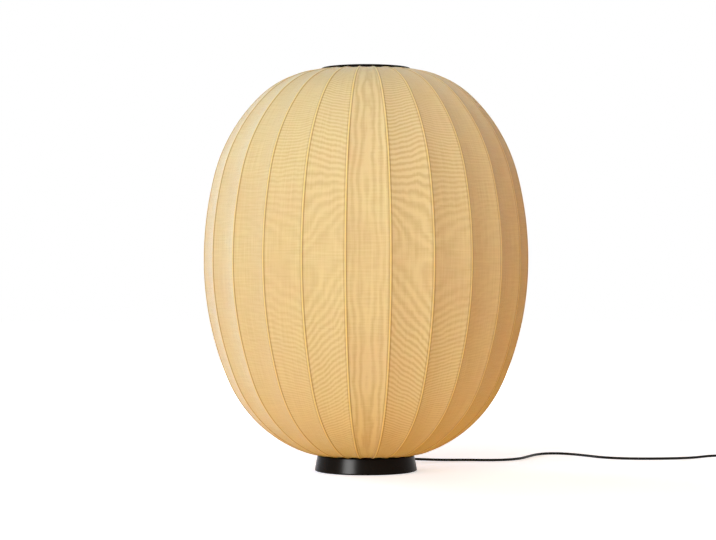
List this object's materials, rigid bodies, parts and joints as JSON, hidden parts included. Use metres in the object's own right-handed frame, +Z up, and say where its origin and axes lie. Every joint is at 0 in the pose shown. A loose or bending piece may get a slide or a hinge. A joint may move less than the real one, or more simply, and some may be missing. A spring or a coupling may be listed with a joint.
{
  "type": "floor lamp",
  "caption": "Free-standing floor lamp with a tall oval knitted shade over bent upright ribs, open at the top, on a low dark weighted base.",
  "frame": {"origin": "on the floor, under the middle of the base", "axes": "+Z up along the lamp's axis, -Y towards the front, +X to the right; the lead leaves the base at the back, +Y"},
  "size_m": [1.2278, 0.75, 0.807],
  "materials": {
    "knit_fabric": "fine elastic knit, matte with a faint sheen and a watered figure",
    "rod_fibre": "smooth drawn glass-fibre rod",
    "black_enamel": "satin black-brown enamel",
    "cast_weight": "rough casting",
    "bare_steel": "plain bright steel",
    "grip_pad": "soft matte rubber",
    "black_moulding": "fine spark-eroded grain",
    "button_moulding": "smooth satin moulding",
    "pale_moulding": "smooth matte",
    "contact_brass": "pressed sheet brass",
    "opal_glass": "opal, satin",
    "cord_sheath": "smooth flexible sheath",
    "tie_band": "woven tape"
  },
  "bodies": {
    "stand": {"knit_shade": "knit_fabric", "rod_01": "rod_fibre", "rod_02": "rod_fibre", "rod_03": "rod_fibre", "rod_04": "rod_fibre", "rod_05": "rod_fibre", "rod_06": "rod_fibre", "rod_07": "rod_fibre", "rod_08": "rod_fibre", "rod_09": "rod_fibre", "rod_10": "rod_fibre", "rod_11": "rod_fibre", "rod_12": "rod_fibre", "rod_13": "rod_fibre", "rod_14": "rod_fibre", "rod_15": "rod_fibre", "rod_16": "rod_fibre", "rod_17": "rod_fibre", "rod_18": "rod_fibre", "rod_19": "rod_fibre", "rod_20": "rod_fibre", "rod_21": "rod_fibre", "rod_22": "rod_fibre", "rod_23": "rod_fibre", "rod_24": "rod_fibre", "top_ring": "black_enamel", "bottom_ring": "black_enamel", "base_shell": "black_enamel", "stem_collar": "black_enamel", "stem_tube": "black_enamel", "base_weight": "cast_weight", "base_plate": "bare_steel", "plate_screws": "bare_steel", "ring_screws": "bare_steel", "stem_nut": "bare_steel", "switch_screws": "bare_steel", "plug_pins": "bare_steel", "base_pad": "grip_pad", "holder_cap": "black_moulding", "holder_skirt": "black_moulding", "switch_lower_shell": "black_moulding", "switch_upper_shell": "black_moulding", "plug_body": "black_moulding", "holder_core": "pale_moulding", "thread_sleeve": "contact_brass", "centre_contact": "contact_brass", "cord_gland": "cord_sheath", "inner_cable": "cord_sheath", "cord_lead": "cord_sheath", "cord_tail": "cord_sheath", "cord_coil": "cord_sheath", "cord_end": "cord_sheath", "coil_tie": "tie_band"},
    "bulb": {"bulb_cap": "bare_steel", "bulb_collar": "pale_moulding", "bulb_globe": "opal_glass"},
    "button": {"switch_button": "button_moulding"}
  },
  "joints": [
    {"name": "bulb_lift", "type": "slide", "parent": "stand", "child": "bulb", "axis": [0, 0, 1], "range_m": [0, 0.56]},
    {"name": "button_press", "type": "slide", "parent": "stand", "child": "button", "axis": [0, 0, -1], "range_m": [0, 0.003], "stiffness_N_per_m": 900, "springref_m": -0.0005}
  ]
}
